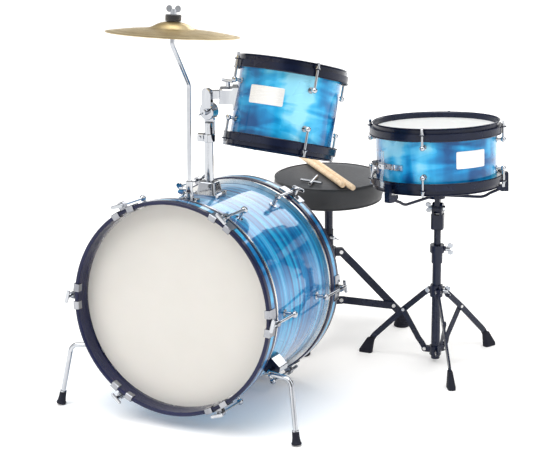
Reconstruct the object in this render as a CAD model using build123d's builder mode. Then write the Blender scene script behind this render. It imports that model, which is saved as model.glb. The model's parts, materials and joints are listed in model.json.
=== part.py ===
from build123d import *
from math import atan2, cos, hypot, radians, sin
import os

os.makedirs("parts", exist_ok=True)

# Junior drum kit.  X to the right, Y toward the player, Z up, millimetres.
# Stations are told from the foot of the bass drum's front hoop.
bass_x = -115
bass_y = -365

# Bass drum: 16 inch shell lying on its side, front end raised on the spurs.
bass_tilt = 4.92
bass_front_height = 243.6
bass_radius = 203
bass_wall = 6
bass_half = 134.5
wood_hoop_outer = 215
wood_hoop_inner = 207
wood_hoop_depth = 37
inlay_low = 146
inlay_high = 159.5
bass_rod_circle = 225
bass_rod_radius = 2.8
bass_lug_height = 78.5
bass_lug_count = 6
spur_angle = -29.5
spur_radius = 5

# Tom: 8 inch by 6 inch, hung beside the post.
tom_radius = 101.6
tom_half = 76.5
tom_rod_circle = 118
tom_ball_height = 37.5
tom_tilt = 17.5
tom_lean_azimuth = 79.8
tom_lug_azimuth = -43.2
post_radius = 9
post_lean = 1.9

# Snare: 10 inch across, a little over 4 inch deep, cradled in its basket.
snare_radius = 127
snare_half = 55.5
snare_rod_circle = 141.5
snare_ball_height = 30.5
snare_tilt = 5
snare_lean_azimuth = 127.6
snare_lug_azimuth = -82
strainer_angle = -43
basket_angles = (-31, 107, 218)

# Small drum hardware shared by the tom and the snare.
drum_wall = 5
rod_radius = 2.6
ball_radius = 5.8
running_fit = 0.05

# Cymbal: 10 inch, on a bent rod.
arm_radius = 4.25
arm_lean = 2.34
cymbal_radius = 127
cymbal_tilt = 7.2
cymbal_azimuth = 84

# Snare stand.
stand_x = 358.2
stand_y = 543.8
stand_azimuths = (181.2, 61.2, -58.8)
stand_tube_radius = 9.5
stand_inner_radius = 7.6
stand_leg_width = 12.6
stand_leg_thick = 4
stand_brace_thick = 3

# Throne.
throne_x = 67
throne_y = 638
throne_azimuths = (31, 151, 271)
throne_tube_radius = 11
throne_post_radius = 9.5
throne_leg_width = 17
throne_leg_thick = 5
throne_brace_thick = 3
seat_radius = 125
seat_low = 315
seat_high = 370


def station(side, back, height):
    """A point told from the foot of the bass drum's front hoop."""
    return Vector(bass_x + side, bass_y + back, height)


def toward(azimuth, lean=90):
    """A unit vector leaning from straight up toward an azimuth."""
    tip = radians(lean)
    turn = radians(azimuth)
    return Vector(sin(tip) * cos(turn), sin(tip) * sin(turn), cos(tip))


def leaning(origin, lean, azimuth, facing):
    """A frame whose Z leans toward azimuth and whose X looks along facing."""
    z_dir = toward(azimuth, lean)
    flat = toward(facing)
    return Plane(origin=origin, x_dir=flat - z_dir * flat.dot(z_dir), z_dir=z_dir)


def write(piece, name):
    """Name a finished piece and save it."""
    piece.part.label = name
    export_step(piece.part, f"parts/{name}.step")


def turned(outline, arc=360, start=0):
    """A solid turned about Z from (radius, height) corners."""
    side = toward(start)
    with BuildPart() as blank:
        with BuildSketch(Plane(origin=(0, 0, 0), x_dir=side, z_dir=side.cross(Vector(0, 0, 1)))):
            with BuildLine():
                Polyline(*outline, close=True)
            make_face()
        revolve(axis=Axis.Z, revolution_arc=arc)
    return blank.part


def bar(start, end, radius):
    """A round bar between two points."""
    first = Vector(start)
    run = Vector(end) - first
    with BuildPart() as blank:
        with BuildSketch(Plane(origin=first, z_dir=run)):
            Circle(radius)
        extrude(amount=run.length)
    return blank.part


def tube(start, end, radius, bore):
    """A round tube between two points."""
    first = Vector(start)
    run = Vector(end) - first
    with BuildPart() as blank:
        with BuildSketch(Plane(origin=first, z_dir=run)):
            Circle(radius)
            Circle(bore, mode=Mode.SUBTRACT)
        extrude(amount=run.length)
    return blank.part


def bent(points, bends, radius):
    """A round rod bent through a chain of points."""
    with BuildPart() as blank:
        with BuildLine():
            path = FilletPolyline(*points, radius=bends)
        with BuildSketch(Plane(origin=path @ 0, z_dir=path % 0)):
            Circle(radius)
        sweep(path=path)
    return blank.part


def strip(points, bends, width, thickness):
    """A flat bar following a line in XZ, its thickness across Y."""
    with BuildPart() as blank:
        with BuildSketch(Plane.XZ):
            with BuildLine():
                FilletPolyline(*points, radius=bends)
            trace(line_width=width)
        extrude(amount=thickness / 2, both=True)
    return blank.part


def link(reach, width, thickness, offset, start, finish, hole):
    """A flat link along X with round ends, stepped sideways in Y."""
    with BuildPart() as blank:
        with BuildSketch():
            with BuildLine():
                Polyline((-width, 0), (start, 0), (finish, offset), (reach + width, offset))
            trace(line_width=thickness)
        extrude(amount=width / 2, both=True)
        with BuildSketch(Plane.XZ):
            with Locations((reach / 2, 0)):
                SlotCenterToCenter(reach, width)
        extrude(amount=width * 2, both=True, mode=Mode.INTERSECT)
        with BuildSketch(Plane.XZ):
            with Locations((0, 0), (reach, 0)):
                Circle(hole)
        extrude(amount=width * 2, both=True, mode=Mode.SUBTRACT)
    return blank.part


def ear(root, reach, height, half_width, low, high, hole):
    """A pivot plate in XZ from a collar at radius root out to its pin."""
    with BuildPart() as blank:
        with BuildSketch(Plane.XZ.offset(-low)):
            with Locations((reach, height)):
                Circle(half_width)
            with Locations(((root + reach) / 2, height)):
                Rectangle(reach - root, half_width * 2)
            with Locations((reach, height)):
                Circle(hole, mode=Mode.SUBTRACT)
        extrude(amount=low - high)
    return blank.part


def wing_bolt(depth, shank=2.9, span=24):
    """A wing bolt standing on Z=0 with its shank below."""
    with BuildPart() as blank:
        with BuildSketch(Plane.XZ):
            with Locations((span / 4 + 1.5, 9), (-span / 4 - 1.5, 9)):
                Ellipse(span / 4 - 1, 6)
            with Locations((0, 6)):
                Rectangle(span / 2, 5)
        extrude(amount=1.4, both=True)
        Cone(shank + 2.4, shank + 1.2, 9, align=(Align.CENTER, Align.CENTER, Align.MIN))
        with Locations((0, 0, -depth)):
            Cylinder(shank, depth + 1, align=(Align.CENTER, Align.CENTER, Align.MIN))
    return blank.part


def pin_head(radius, thickness):
    """A domed rivet head standing on Z=0."""
    with BuildPart() as blank:
        Cylinder(radius, thickness, align=(Align.CENTER, Align.CENTER, Align.MIN))
        fillet(blank.edges().group_by(Axis.Z)[-1], thickness * 0.6)
    return blank.part


def around(count, first=0):
    """Locations turned evenly about Z."""
    return [Location((0, 0, 0), (0, 0, first + 360 * k / count)) for k in range(count)]


def drum_ends(half):
    """The two ends of a shell, each with Z pointing outward."""
    return [Location((0, 0, half)), Location((0, 0, -half), (180, 0, 0))]


# Frames of the tilted pieces.
bass_lean = radians(bass_tilt)
hoop_reach = bass_half + wood_hoop_depth
bass_frame = Plane(
    origin=station(0, hoop_reach * cos(bass_lean), bass_front_height - hoop_reach * sin(bass_lean)),
    x_dir=(1, 0, 0),
    z_dir=(0, -cos(bass_lean), sin(bass_lean)),
)
post_frame = leaning(station(0, 182, 431.7), post_lean, 90, 0)
tom_frame = leaning(station(138.2, 251.2, 604.9), tom_tilt, tom_lean_azimuth, tom_lug_azimuth)
snare_frame = leaning(station(352.5, 544, 467.4), snare_tilt, snare_lean_azimuth, snare_lug_azimuth)
arm_frame = leaning(station(0, 95.9, 442), arm_lean, 90, 0)
cymbal_frame = leaning(station(2, 41.3, 776.8), cymbal_tilt, cymbal_azimuth, 0)
stand_frame = Plane(origin=station(stand_x, stand_y, 0))
throne_frame = Plane(origin=station(throne_x, throne_y, 0))
bass_place = bass_frame.location
post_place = post_frame.location
tom_place = tom_frame.location
snare_place = snare_frame.location
arm_place = arm_frame.location
cymbal_place = cymbal_frame.location
stand_place = stand_frame.location
throne_place = throne_frame.location


# ---------------------------------------------------------------- bass drum
bass_cut = turned([(0, -220), (bass_radius + 0.1, -220), (bass_radius + 0.1, 220), (0, 220)])
bass_tube_outline = [
    (bass_radius - bass_wall, -bass_half + 2),
    (bass_radius - bass_wall + 2, -bass_half),
    (bass_radius, -bass_half),
    (bass_radius, bass_half),
    (bass_radius - bass_wall + 2, bass_half),
    (bass_radius - bass_wall, bass_half - 2),
]
with BuildPart() as bass_shell:
    with Locations(bass_place):
        add(turned(bass_tube_outline))
    with Locations(post_place):
        Cylinder(post_radius + 0.5, 60, mode=Mode.SUBTRACT)
    with Locations(arm_place):
        Cylinder(6.4, 40, mode=Mode.SUBTRACT)
write(bass_shell, "bass_shell")

# One wooden hoop standing past the front end, with its inlay groove.
hoop_outline = [
    (wood_hoop_inner, bass_half),
    (wood_hoop_outer - 2, bass_half),
    (wood_hoop_outer, bass_half + 2),
    (wood_hoop_outer, inlay_low),
    (wood_hoop_outer - 0.6, inlay_low),
    (wood_hoop_outer - 0.6, inlay_high),
    (wood_hoop_outer, inlay_high),
    (wood_hoop_outer, hoop_reach - 2.5),
    (wood_hoop_outer - 0.8, hoop_reach - 0.8),
    (wood_hoop_outer - 2.5, hoop_reach),
    (wood_hoop_inner + 2.5, hoop_reach),
    (wood_hoop_inner + 0.8, hoop_reach - 0.8),
    (wood_hoop_inner, hoop_reach - 2.5),
]
front_hoop = turned(hoop_outline)
front_inlay = turned([
    (wood_hoop_outer - 0.55, inlay_low + 0.05),
    (wood_hoop_outer - 0.05, inlay_low + 0.05),
    (wood_hoop_outer - 0.05, inlay_high - 0.05),
    (wood_hoop_outer - 0.55, inlay_high - 0.05),
])
front_head = turned([
    (0, bass_half + 0.2),
    (bass_radius + 0.4, bass_half + 0.2),
    (bass_radius + 0.4, bass_half - 8),
    (bass_radius + 9.5, bass_half - 8),
    (bass_radius + 9.5, bass_half - 0.2),
    (bass_radius + 1.4, bass_half - 0.2),
    (bass_radius + 1.4, bass_half + 1),
    (0, bass_half + 1),
])
both_ends = [Location((0, 0, 0)), Location((0, 0, 0), (180, 0, 0))]

with BuildPart() as bass_hoops:
    with Locations(bass_place):
        with Locations(both_ends):
            add(front_hoop)
write(bass_hoops, "bass_hoops")

with BuildPart() as bass_hoop_inlays:
    with Locations(bass_place):
        with Locations(both_ends):
            add(front_inlay)
write(bass_hoop_inlays, "bass_hoop_inlays")

with BuildPart() as bass_heads:
    with Locations(bass_place):
        with Locations(both_ends):
            add(front_head)
write(bass_heads, "bass_heads")

# A claw hooks the hoop with two fingers and carries a rod saddle outside.
claw_outline = [
    (wood_hoop_inner - 2.2, hoop_reach - 11.5),
    (wood_hoop_inner - 0.2, hoop_reach - 11.5),
    (wood_hoop_inner - 0.2, hoop_reach + 0.1),
    (wood_hoop_outer + 0.1, hoop_reach + 0.1),
    (wood_hoop_outer + 0.1, hoop_reach - 23.5),
    (wood_hoop_outer + 2.1, hoop_reach - 23.5),
    (wood_hoop_outer + 2.1, hoop_reach + 0.9),
    (wood_hoop_outer + 0.9, hoop_reach + 2.1),
    (wood_hoop_inner - 1, hoop_reach + 2.1),
    (wood_hoop_inner - 2.2, hoop_reach + 0.9),
]
bridge_outline = [
    (wood_hoop_outer + 0.1, hoop_reach - 23.5),
    (wood_hoop_outer + 2.1, hoop_reach - 23.5),
    (wood_hoop_outer + 2.1, hoop_reach - 7),
    (wood_hoop_outer + 0.1, hoop_reach - 7),
]
with BuildPart() as claw:
    add(turned(claw_outline, arc=4.3, start=2.8))
    add(turned(claw_outline, arc=4.3, start=-7.1))
    add(turned(bridge_outline, arc=7, start=-3.5))
    with BuildSketch(Plane.XY.offset(hoop_reach - 16)):
        with Locations((bass_rod_circle - 4, 0)):
            Rectangle(8, 13)
        with Locations((bass_rod_circle, 0)):
            Circle(6.5)
    extrude(amount=12)
    with BuildSketch(Plane.XY.offset(hoop_reach - 16)):
        with Locations((bass_rod_circle, 0)):
            Circle(bass_rod_radius + 0.4)
    extrude(amount=12, mode=Mode.SUBTRACT)

with BuildPart() as bass_claws:
    with Locations(bass_place):
        with Locations(both_ends):
            with Locations(around(bass_lug_count)):
                add(claw.part)
write(bass_claws, "bass_claws")

# A rod with a collar and a rounded T handle, screwed into its lug ball.
with BuildPart() as key_handle:
    with BuildSketch():
        SlotOverall(28, 7)
    extrude(amount=4.4)
    fillet(key_handle.edges(), 1.6)
rod_sections = [
    (bass_lug_height - 3, hoop_reach + 6, bass_rod_radius),
    (hoop_reach - 3.9, hoop_reach - 2.4, 5.6),
    (hoop_reach - 2.5, hoop_reach + 9, 4.2),
]
with BuildPart() as handle_rod:
    for low, high, radius in rod_sections:
        add(bar((bass_rod_circle, 0, low), (bass_rod_circle, 0, high), radius))
    with Locations(Location((bass_rod_circle, 0, hoop_reach + 7.6), (0, 0, 78))):
        add(key_handle.part)

with BuildPart() as bass_tension_rods:
    with Locations(bass_place):
        with Locations(both_ends):
            with Locations(around(bass_lug_count)):
                add(handle_rod.part)
write(bass_tension_rods, "bass_tension_rods")

# A lug is a ball on a stalk, standing on a round foot on the shell.
with BuildPart() as bass_lug:
    add(bar((bass_radius + 0.15, 0, bass_lug_height), (bass_radius + 2.2, 0, bass_lug_height), 7.5))
    add(bar((bass_radius + 1, 0, bass_lug_height), (bass_rod_circle, 0, bass_lug_height), 4))
    with Locations((bass_rod_circle, 0, bass_lug_height)):
        Sphere(6.8)
        Cylinder(bass_rod_radius + running_fit, 20, mode=Mode.SUBTRACT)

with BuildPart() as bass_lugs:
    with Locations(bass_place):
        with Locations(both_ends):
            with Locations(around(bass_lug_count)):
                add(bass_lug.part)
write(bass_lugs, "bass_lugs")

# Spur bracket: a wedge block on the shell with a bore along the drum axis.
spur_bore_out = 221.5
spur_bore_up = -1
spur_bracket_front = hoop_reach - 71
spur_turn = Location((0, 0, 0), (0, 0, spur_angle))
with BuildPart() as right_bracket:
    with BuildSketch(Plane.XY.offset(spur_bracket_front - 37)):
        with BuildLine():
            FilletPolyline(
                (200, 16),
                (208, 16),
                (232.5, 10.5),
                (236, 1),
                (224, -13.5),
                (208, -16),
                (200, -16),
                radius=[2, 4, 4, 4, 2],
            )
            Line((200, -16), (200, 16))
        make_face()
        with Locations((spur_bore_out, spur_bore_up)):
            Circle(spur_radius + running_fit, mode=Mode.SUBTRACT)
    extrude(amount=37)
    add(bass_cut, mode=Mode.SUBTRACT)
    with BuildSketch(Plane((222, -20, spur_bracket_front - 12), x_dir=(1, 0, 0), z_dir=(0, 1, 0))):
        Circle(2.6)
    extrude(amount=14, mode=Mode.SUBTRACT)

with BuildPart() as bracket_pair:
    with Locations(spur_turn):
        add(right_bracket.part)
    mirror(about=Plane.YZ)

with BuildPart() as spur_brackets:
    with Locations(bass_place):
        add(bracket_pair.part)
write(spur_brackets, "spur_brackets")

# Knurled thumb screw pressing on the spur from under the bracket.
with BuildPart() as thumb_screw:
    Cylinder(5, 7, align=(Align.CENTER, Align.CENTER, Align.MIN))
    fillet(thumb_screw.edges(), 1)
    with Locations((0, 0, -6)):
        Cylinder(2.4, 8, align=(Align.CENTER, Align.CENTER, Align.MIN))
screw_frame = Plane((222, -16.6, spur_bracket_front - 12), x_dir=(1, 0, 0), z_dir=(0, -1, 0))
with BuildPart() as right_spur_screw:
    with Locations(screw_frame.location):
        add(thumb_screw.part)
with BuildPart() as spur_screws:
    with Locations(spur_turn):
        add(right_spur_screw.part)
    mirror(about=Plane.YZ)

# Spur: leaves the bracket forward, turns outward, then down to a rubber foot.
turn_in = radians(spur_angle)
bore_x = spur_bore_out * cos(turn_in) - spur_bore_up * sin(turn_in)
bore_y = spur_bore_out * sin(turn_in) + spur_bore_up * cos(turn_in)
spur_end = Vector(264, -235.8, 140.5)
spur_knee = Vector(245, -114, 132)
spur_fall = (spur_end - spur_knee).normalized()
spur_rod = bent(
    [(bore_x, bore_y, spur_bracket_front - 35), (bore_x, bore_y, 125), spur_knee, spur_end],
    [14, 18],
    spur_radius,
)
foot_place = Plane(origin=spur_end - spur_fall * 24, z_dir=spur_fall).location
spur_rubber = turned([
    (spur_radius + running_fit, 0),
    (6.8, 0),
    (7.4, 14),
    (8.6, 22),
    (10.2, 25.4),
    (9.4, 28),
    (0, 28.4),
    (0, 24.3),
    (spur_radius + running_fit, 24.3),
])
with BuildPart() as right_spur:
    add(spur_rod)
    with Locations(foot_place):
        add(spur_rubber)
with BuildPart() as left_spur:
    mirror(right_spur.part, about=Plane.YZ)

with BuildPart() as spur_right_leg:
    with Locations(bass_place):
        add(right_spur.part)
write(spur_right_leg, "spur_right_leg")

with BuildPart() as spur_left_leg:
    with Locations(bass_place):
        add(left_spur.part)
write(spur_left_leg, "spur_left_leg")


# ------------------------------------------------- tom mount on the bass drum
plate_height = 27
with BuildPart() as tom_mount_plate:
    with BuildSketch(post_frame.offset(-4)):
        RectangleRounded(58, 52, 9)
    extrude(amount=7)
    with BuildSketch(post_frame):
        RectangleRounded(43, 39, 5)
    with BuildSketch(post_frame.offset(plate_height)):
        RectangleRounded(35, 32, 7)
    loft()
    fillet(tom_mount_plate.edges().group_by(Axis.Z)[-1], 2)
    with Locations(bass_place):
        add(bass_cut, mode=Mode.SUBTRACT)
    with Locations(post_place):
        Cylinder(post_radius + running_fit, 80, mode=Mode.SUBTRACT)
write(tom_mount_plate, "tom_mount_plate")

plate_screws = [(sx * 24.4, sy * 21.4, 3.1) for sx in (-1, 1) for sy in (-1, 1)]
with BuildPart() as cap_screw:
    Cylinder(3, 2.2, align=(Align.CENTER, Align.CENTER, Align.MIN))
    fillet(cap_screw.edges().group_by(Axis.Z)[-1], 1)
    with BuildSketch(Plane.XY.offset(1.2)):
        Rectangle(4.4, 0.9)
        Rectangle(0.9, 4.4)
    extrude(amount=2, mode=Mode.SUBTRACT)

# Post heights are told above the bass drum's crown.
post_low = -62
post_high = 146
clamp_low = 107.8
clamp_high = 123
socket_high = 151.4
hinge_height = 169
with BuildPart() as tom_post:
    with Locations(post_place):
        add(bar((0, 0, post_low), (0, 0, post_high), post_radius))
    fillet(tom_post.edges().filter_by(GeomType.CIRCLE), 1)
write(tom_post, "tom_post")

# Memory clamp: a split ring with two ears drawn together by a key screw.
with BuildPart() as clamp_ring:
    with BuildSketch():
        Circle(12.5)
        with Locations((-15, 0)):
            RectangleRounded(17, 13, 2.5)
        Circle(post_radius + running_fit, mode=Mode.SUBTRACT)
        with Locations((-16, 0)):
            Rectangle(17, 1.6, mode=Mode.SUBTRACT)
    extrude(amount=clamp_high - clamp_low)
    chamfer(clamp_ring.faces().filter_by(Axis.Z).edges().filter_by(GeomType.CIRCLE), 0.6)
    with BuildSketch(Plane.XZ.offset(-10)):
        with Locations((-18.5, 7.6)):
            Circle(2.3)
    extrude(amount=20, mode=Mode.SUBTRACT)
    add(bar((-18.5, -9.4, 7.6), (-18.5, 9, 7.6), 2.2))
    add(bar((-18.5, -9.6, 7.6), (-18.5, -6.6, 7.6), 3.6))
    add(bar((-18.5, 6.6, 7.6), (-18.5, 9.2, 7.6), 3.8))
with BuildPart() as tom_memory_clamp:
    with Locations(post_place):
        with Locations(Location((0, 0, clamp_low), (0, 0, 12))):
            add(clamp_ring.part)
write(tom_memory_clamp, "tom_memory_clamp")

# Tilter: frame at the hinge, Z along the hinge toward the front left.
hinge_azimuth = -100
hinge_centre = post_frame.from_local_coords(Vector(0, 0, hinge_height))
hinge_frame = Plane(
    origin=hinge_centre,
    x_dir=toward(hinge_azimuth + 90),
    z_dir=toward(hinge_azimuth),
)
hinge_place = hinge_frame.location
ratchet_radius = 17
low_end = (Align.CENTER, Align.CENTER, Align.MIN)
with BuildPart() as socket_body:
    add(tube((0, 0, clamp_high + 0.4), (0, 0, socket_high - 4), 12.2, post_radius + running_fit))
    add(bar((0, 0, socket_high - 4.5), (0, 0, socket_high), 12.2))
    fillet(socket_body.edges().group_by(Axis.Z)[-1], 1.5)
    with Locations((0, 0, socket_high - 3)):
        Box(20, 15, 11, align=low_end)
with BuildPart() as tom_socket_tube:
    with Locations(post_place):
        add(socket_body.part)
    with Locations(hinge_place):
        with Locations((0, 0, -4.9)):
            Cylinder(ratchet_radius, 9)
        with Locations((0, 0, -0.4)):
            Cylinder(60, 40, align=low_end, mode=Mode.SUBTRACT)
        Cylinder(4.1, 60, mode=Mode.SUBTRACT)
write(tom_socket_tube, "tom_socket_tube")

# Upper half: toothed disc, upright arm and the tongue toward the tom.
tongue_azimuth = 24.7
tongue_height = 196.3
tongue_frame = Plane(
    origin=post_frame.from_local_coords(Vector(0, 0, tongue_height)),
    x_dir=toward(tongue_azimuth),
    z_dir=(0, 0, 1),
)
tongue_place = tongue_frame.location
with BuildPart() as upright:
    with BuildSketch():
        Circle(ratchet_radius)
        with Locations((0, 18)):
            SlotOverall(58, 22, rotation=90)
    extrude(amount=9)
    chamfer(upright.edges().group_by(Axis.Z)[-1], 1)
with BuildPart() as tom_tilt_arm:
    with Locations(hinge_place):
        with Locations((0, 0, 0.1)):
            add(upright.part)
    with Locations(tongue_place):
        with Locations((20, 0, 6)):
            Box(48, 14, 16)
    with Locations(hinge_place):
        Cylinder(4.1, 60, mode=Mode.SUBTRACT)
write(tom_tilt_arm, "tom_tilt_arm")

# Through screw with a wing at the front and a nut behind.
with BuildPart() as hinge_nut:
    with BuildSketch():
        RegularPolygon(7, 6)
        Circle(3.95, mode=Mode.SUBTRACT)
    extrude(amount=6)
with BuildPart() as tom_tilt_screw:
    with Locations(hinge_place):
        add(bar((0, 0, -16), (0, 0, 12), 3.9))
        with Locations(Location((0, 0, 9.4), (0, 0, 35))):
            add(wing_bolt(2, 3.9, 25))
        with Locations((0, 0, -15.6)):
            add(hinge_nut.part)
write(tom_tilt_screw, "tom_tilt_screw")


# ------------------------------------------- shared parts of the small drums
def small_shell(radius, half):
    """A shell with its bearing edges turned in."""
    inner = radius - drum_wall
    return turned([
        (inner, -half + 2.5),
        (inner + 2.5, -half),
        (radius, -half),
        (radius, half),
        (inner + 2.5, half),
        (inner, half - 2.5),
    ])


def small_head(radius):
    """A drum head with its flesh ring; Z=0 is the shell's edge."""
    return turned([
        (0, 0.3),
        (radius + 0.4, 0.3),
        (radius + 0.4, -7.5),
        (radius + 8.8, -7.5),
        (radius + 8.8, 0.4),
        (radius + 1.4, 0.4),
        (radius + 1.4, 1.1),
        (0, 1.1),
    ])


def flanged_hoop(radius, circle):
    """A pressed triple flanged hoop with four rod ears; Z=0 is the shell's edge."""
    with BuildPart() as blank:
        add(turned([
            (radius + 3, 0.6),
            (radius + 3, 11.2),
            (radius + 5.3, 14),
            (radius + 7, 13),
            (radius + 5, 10.4),
            (radius + 5, 2.6),
            (radius + 11.5, 2.6),
            (radius + 11.5, -10.2),
            (radius + 13.4, -11.4),
            (radius + 12.4, -13),
            (radius + 9.5, -11.4),
            (radius + 9.5, 0.6),
        ]))
        for turn in around(4):
            with Locations(turn):
                with Locations((radius + 20, 0, -10)):
                    Cylinder(15.5, 17.6, rotation=(0, 90, 0), mode=Mode.SUBTRACT)
                with Locations((radius + 9, 0, 0.6)):
                    Box(8, 26, 2, align=low_end)
                with Locations((circle, 0, 0.6)):
                    Cylinder(6.6, 2, align=low_end)
                with Locations((circle, 0, 0)):
                    Cylinder(rod_radius + 0.4, 12, mode=Mode.SUBTRACT)
    return blank.part


def key_rod(circle, edge, ball):
    """A square headed tension rod; heights from the drum's middle."""
    seat = edge + 2.7
    with BuildPart() as blank:
        add(bar((circle, 0, ball - 3), (circle, 0, seat + 4), rod_radius))
        add(bar((circle, 0, seat), (circle, 0, seat + 1.4), 5))
        add(bar((circle, 0, seat + 1.3), (circle, 0, seat + 5), 3.4))
        with Locations((circle, 0, seat + 4)):
            Box(4.6, 4.6, 8, align=low_end)
        chamfer(blank.edges().group_by(Axis.Z)[-1], 0.8)
    return blank.part


def ball_lug(radius, circle, ball):
    """A ball on a stalk with a round foot against the shell."""
    with BuildPart() as blank:
        add(bar((radius + 0.3, 0, ball), (radius + 1.9, 0, ball), 6))
        add(bar((radius + 1, 0, ball), (circle, 0, ball), 3.2))
        with Locations((circle, 0, ball)):
            Sphere(ball_radius)
            Cylinder(rod_radius + running_fit, 20, mode=Mode.SUBTRACT)
    return blank.part


# ---------------------------------------------------------------------- tom
with BuildPart() as tom_shell:
    with Locations(tom_place):
        add(small_shell(tom_radius, tom_half))
write(tom_shell, "tom_shell")

with BuildPart() as tom_heads:
    with Locations(tom_place):
        with Locations(drum_ends(tom_half)):
            add(small_head(tom_radius))
write(tom_heads, "tom_heads")

with BuildPart() as tom_hoops:
    with Locations(tom_place):
        with Locations(drum_ends(tom_half)):
            add(flanged_hoop(tom_radius, tom_rod_circle))
write(tom_hoops, "tom_hoops")

with BuildPart() as tom_tension_rods:
    with Locations(tom_place):
        with Locations(both_ends):
            with Locations(around(4)):
                add(key_rod(tom_rod_circle, tom_half, tom_ball_height))
write(tom_tension_rods, "tom_tension_rods")

with BuildPart() as tom_lugs:
    with Locations(tom_place):
        with Locations(both_ends):
            with Locations(around(4)):
                add(ball_lug(tom_radius, tom_rod_circle, tom_ball_height))
write(tom_lugs, "tom_lugs")

# Bracket: a curved plate on the shell and a block that swallows the tongue.
with BuildPart() as bracket_block:
    with BuildSketch(Plane.XY.offset(-11)):
        with Locations((45, 0)):
            RectangleRounded(48, 33, 5)
    extrude(amount=30)
    chamfer(bracket_block.edges().group_by(Axis.Z)[-1], 1.5)
    with Locations((56, 0, 0)):
        Box(18, 37, 44)
with BuildPart() as tom_bracket:
    with Locations(tongue_place):
        add(bracket_block.part)
    with Locations(tom_place):
        Cylinder(tom_radius + 0.15, 200, mode=Mode.SUBTRACT)
    with Locations(tongue_place):
        with Locations((20, 0, 6)):
            Box(48.6, 14.3, 16.3, mode=Mode.SUBTRACT)
        with Locations((38, 0, 19)):
            Cylinder(3.4, 12, mode=Mode.SUBTRACT)
with BuildPart() as bracket_key:
    Cylinder(3.3, 5.2, align=(Align.CENTER, Align.CENTER, Align.MAX))
    Cylinder(4.6, 12, align=low_end)
    with Locations((0, 0, 14)):
        Cylinder(3.1, 26, rotation=(90, 0, 0))
    fillet(bracket_key.edges().filter_by(GeomType.CIRCLE), 0.5)
with BuildPart() as bracket_with_key:
    add(tom_bracket.part.solids().sort_by(SortBy.VOLUME)[-1])
    with Locations(tongue_place):
        with Locations(Location((38, 0, 19.4), (0, 0, 55))):
            add(bracket_key.part)
write(bracket_with_key, "tom_bracket")


# ------------------------------------------------------------------- cymbal
with BuildPart() as bracket_foot:
    with BuildSketch(Plane.XY.offset(-8)):
        RectangleRounded(38, 26, 6)
    extrude(amount=9.5)
with BuildPart() as cymbal_bracket:
    with Locations(arm_place):
        add(bracket_foot.part)
        add(bar((0, 0, -2), (0, 0, 6), 9.5))
        add(bar((0, 0, 0), (0, 0, 37), 6.9))
        add(bar((-5, 0, 20), (-12, 0, 20), 5))
    with Locations(bass_place):
        add(bass_cut, mode=Mode.SUBTRACT)
    with Locations(arm_place):
        Cylinder(5.95, 120, mode=Mode.SUBTRACT)
        add(bar((-4, 0, 20), (-13, 0, 20), 2.95), mode=Mode.SUBTRACT)
write(cymbal_bracket, "cymbal_bracket")

with BuildPart() as cymbal_arm_bush:
    with Locations(arm_place):
        add(tube((0, 0, 4), (0, 0, 16), 5.9, arm_radius + running_fit))
write(cymbal_arm_bush, "cymbal_arm_bush")

arm_foot = arm_frame.from_local_coords(Vector(0, 0, -42))
arm_shoulder = arm_frame.from_local_coords(Vector(0, 0, 227.2))
arm_elbow = cymbal_frame.from_local_coords(Vector(0, 0, -19))
arm_tip = cymbal_frame.from_local_coords(Vector(0, 0, 46))
with BuildPart() as cymbal_arm:
    add(bent([arm_foot, arm_shoulder, arm_elbow, arm_tip], [18, 10], arm_radius))
    with Locations(cymbal_place):
        add(bar((0, 0, 5), (0, 0, 9.2), 7.5))
write(cymbal_arm, "cymbal_arm")

with BuildPart() as cymbal_felts:
    with Locations(cymbal_place):
        add(tube((0, 0, 10.4), (0, 0, 22.3), 11.5, 6.4))
        add(tube((0, 0, 25.2), (0, 0, 37.4), 15, 6.4))
    fillet(cymbal_felts.edges().filter_by(GeomType.CIRCLE), 1.2)
write(cymbal_felts, "cymbal_felts")

plate_under = [(6.5, 23.6), (18, 21.9), (32, 16.6), (42, 11.4), (50, 9.4), (75, 7), (100, 4), (127, 0)]
plate_over = [(6.5, 24.8), (18, 23.2), (32, 18), (42, 12.7), (50, 10.7), (75, 8.2), (100, 5.1), (127, 0.9)]
with BuildPart() as plate_blank:
    with BuildSketch(Plane.XZ):
        with BuildLine():
            under = Spline(*plate_under)
            over = Spline(*plate_over)
            Line(under @ 0, over @ 0)
            Line(under @ 1, over @ 1)
        make_face()
    revolve(axis=Axis.Z)
with BuildPart() as cymbal:
    with Locations(cymbal_place):
        add(plate_blank.part)
write(cymbal, "cymbal")

with BuildPart() as wing_nut:
    Cylinder(6.2, 9.6, align=low_end)
    with BuildSketch(Plane.XZ):
        with Locations((8.2, 10), (-8.2, 10)):
            Ellipse(5.6, 6.4)
        with Locations((0, 6)):
            Rectangle(14, 5)
    extrude(amount=1.6, both=True)
    with Locations((0, 0, -1)):
        Cylinder(arm_radius + running_fit, 9.2, align=low_end, mode=Mode.SUBTRACT)
with BuildPart() as cymbal_wing_nut:
    with Locations(cymbal_place):
        with Locations(Location((0, 0, 38.4), (0, 0, 20))):
            add(wing_nut.part)
write(cymbal_wing_nut, "cymbal_wing_nut")


# -------------------------------------------------------------------- snare
strap_circle = snare_radius + 9
strap_width = 11
strap_turns = [Location((0, 0, 0), (0, 0, strainer_angle + turn)) for turn in (0, 180)]

with BuildPart() as snare_shell:
    with Locations(snare_place):
        add(small_shell(snare_radius, snare_half))
write(snare_shell, "snare_shell")

with BuildPart() as snare_heads:
    with Locations(snare_place):
        with Locations(drum_ends(snare_half)):
            add(small_head(snare_radius))
write(snare_heads, "snare_heads")

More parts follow.
